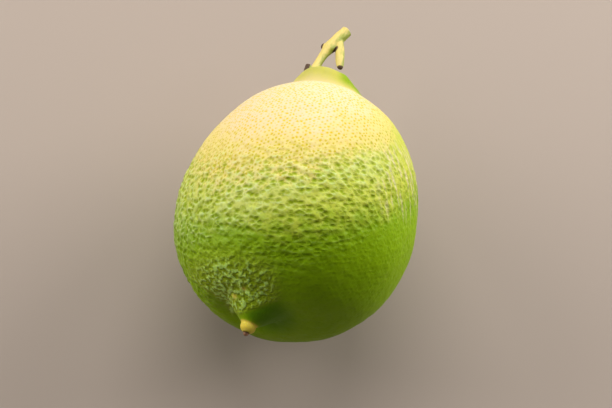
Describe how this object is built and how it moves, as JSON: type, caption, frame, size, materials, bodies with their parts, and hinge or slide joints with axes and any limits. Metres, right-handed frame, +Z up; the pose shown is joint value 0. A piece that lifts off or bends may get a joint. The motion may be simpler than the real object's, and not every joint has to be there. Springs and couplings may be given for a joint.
{
  "type": "lemon",
  "caption": "Whole lemon lying on its side: pebbled rind ripening from green to yellow, ribbed neck with calyx and a short cut stem, furrowed nipple with a dry style at the tip.",
  "frame": {"origin": "middle of the small flat spot that the fruit rests on", "axes": "+Z up, the fruit's own axis close to Y with its stem end towards +Y and its nipple towards -Y"},
  "size_m": [0.0637, 0.1011, 0.0651],
  "materials": {
    "rind": "satin waxy rind with oil-gland pits, yellow at the stem end and green towards the nipple",
    "calyx_green": "matt green sepals with brown edges",
    "stalk": "matt yellow-green bark with brown scars",
    "dry_style": "dry brown"
  },
  "bodies": {
    "root": {"fruit": "rind", "calyx": "calyx_green", "stem": "stalk", "style_remnant": "dry_style"}
  },
  "joints": []
}
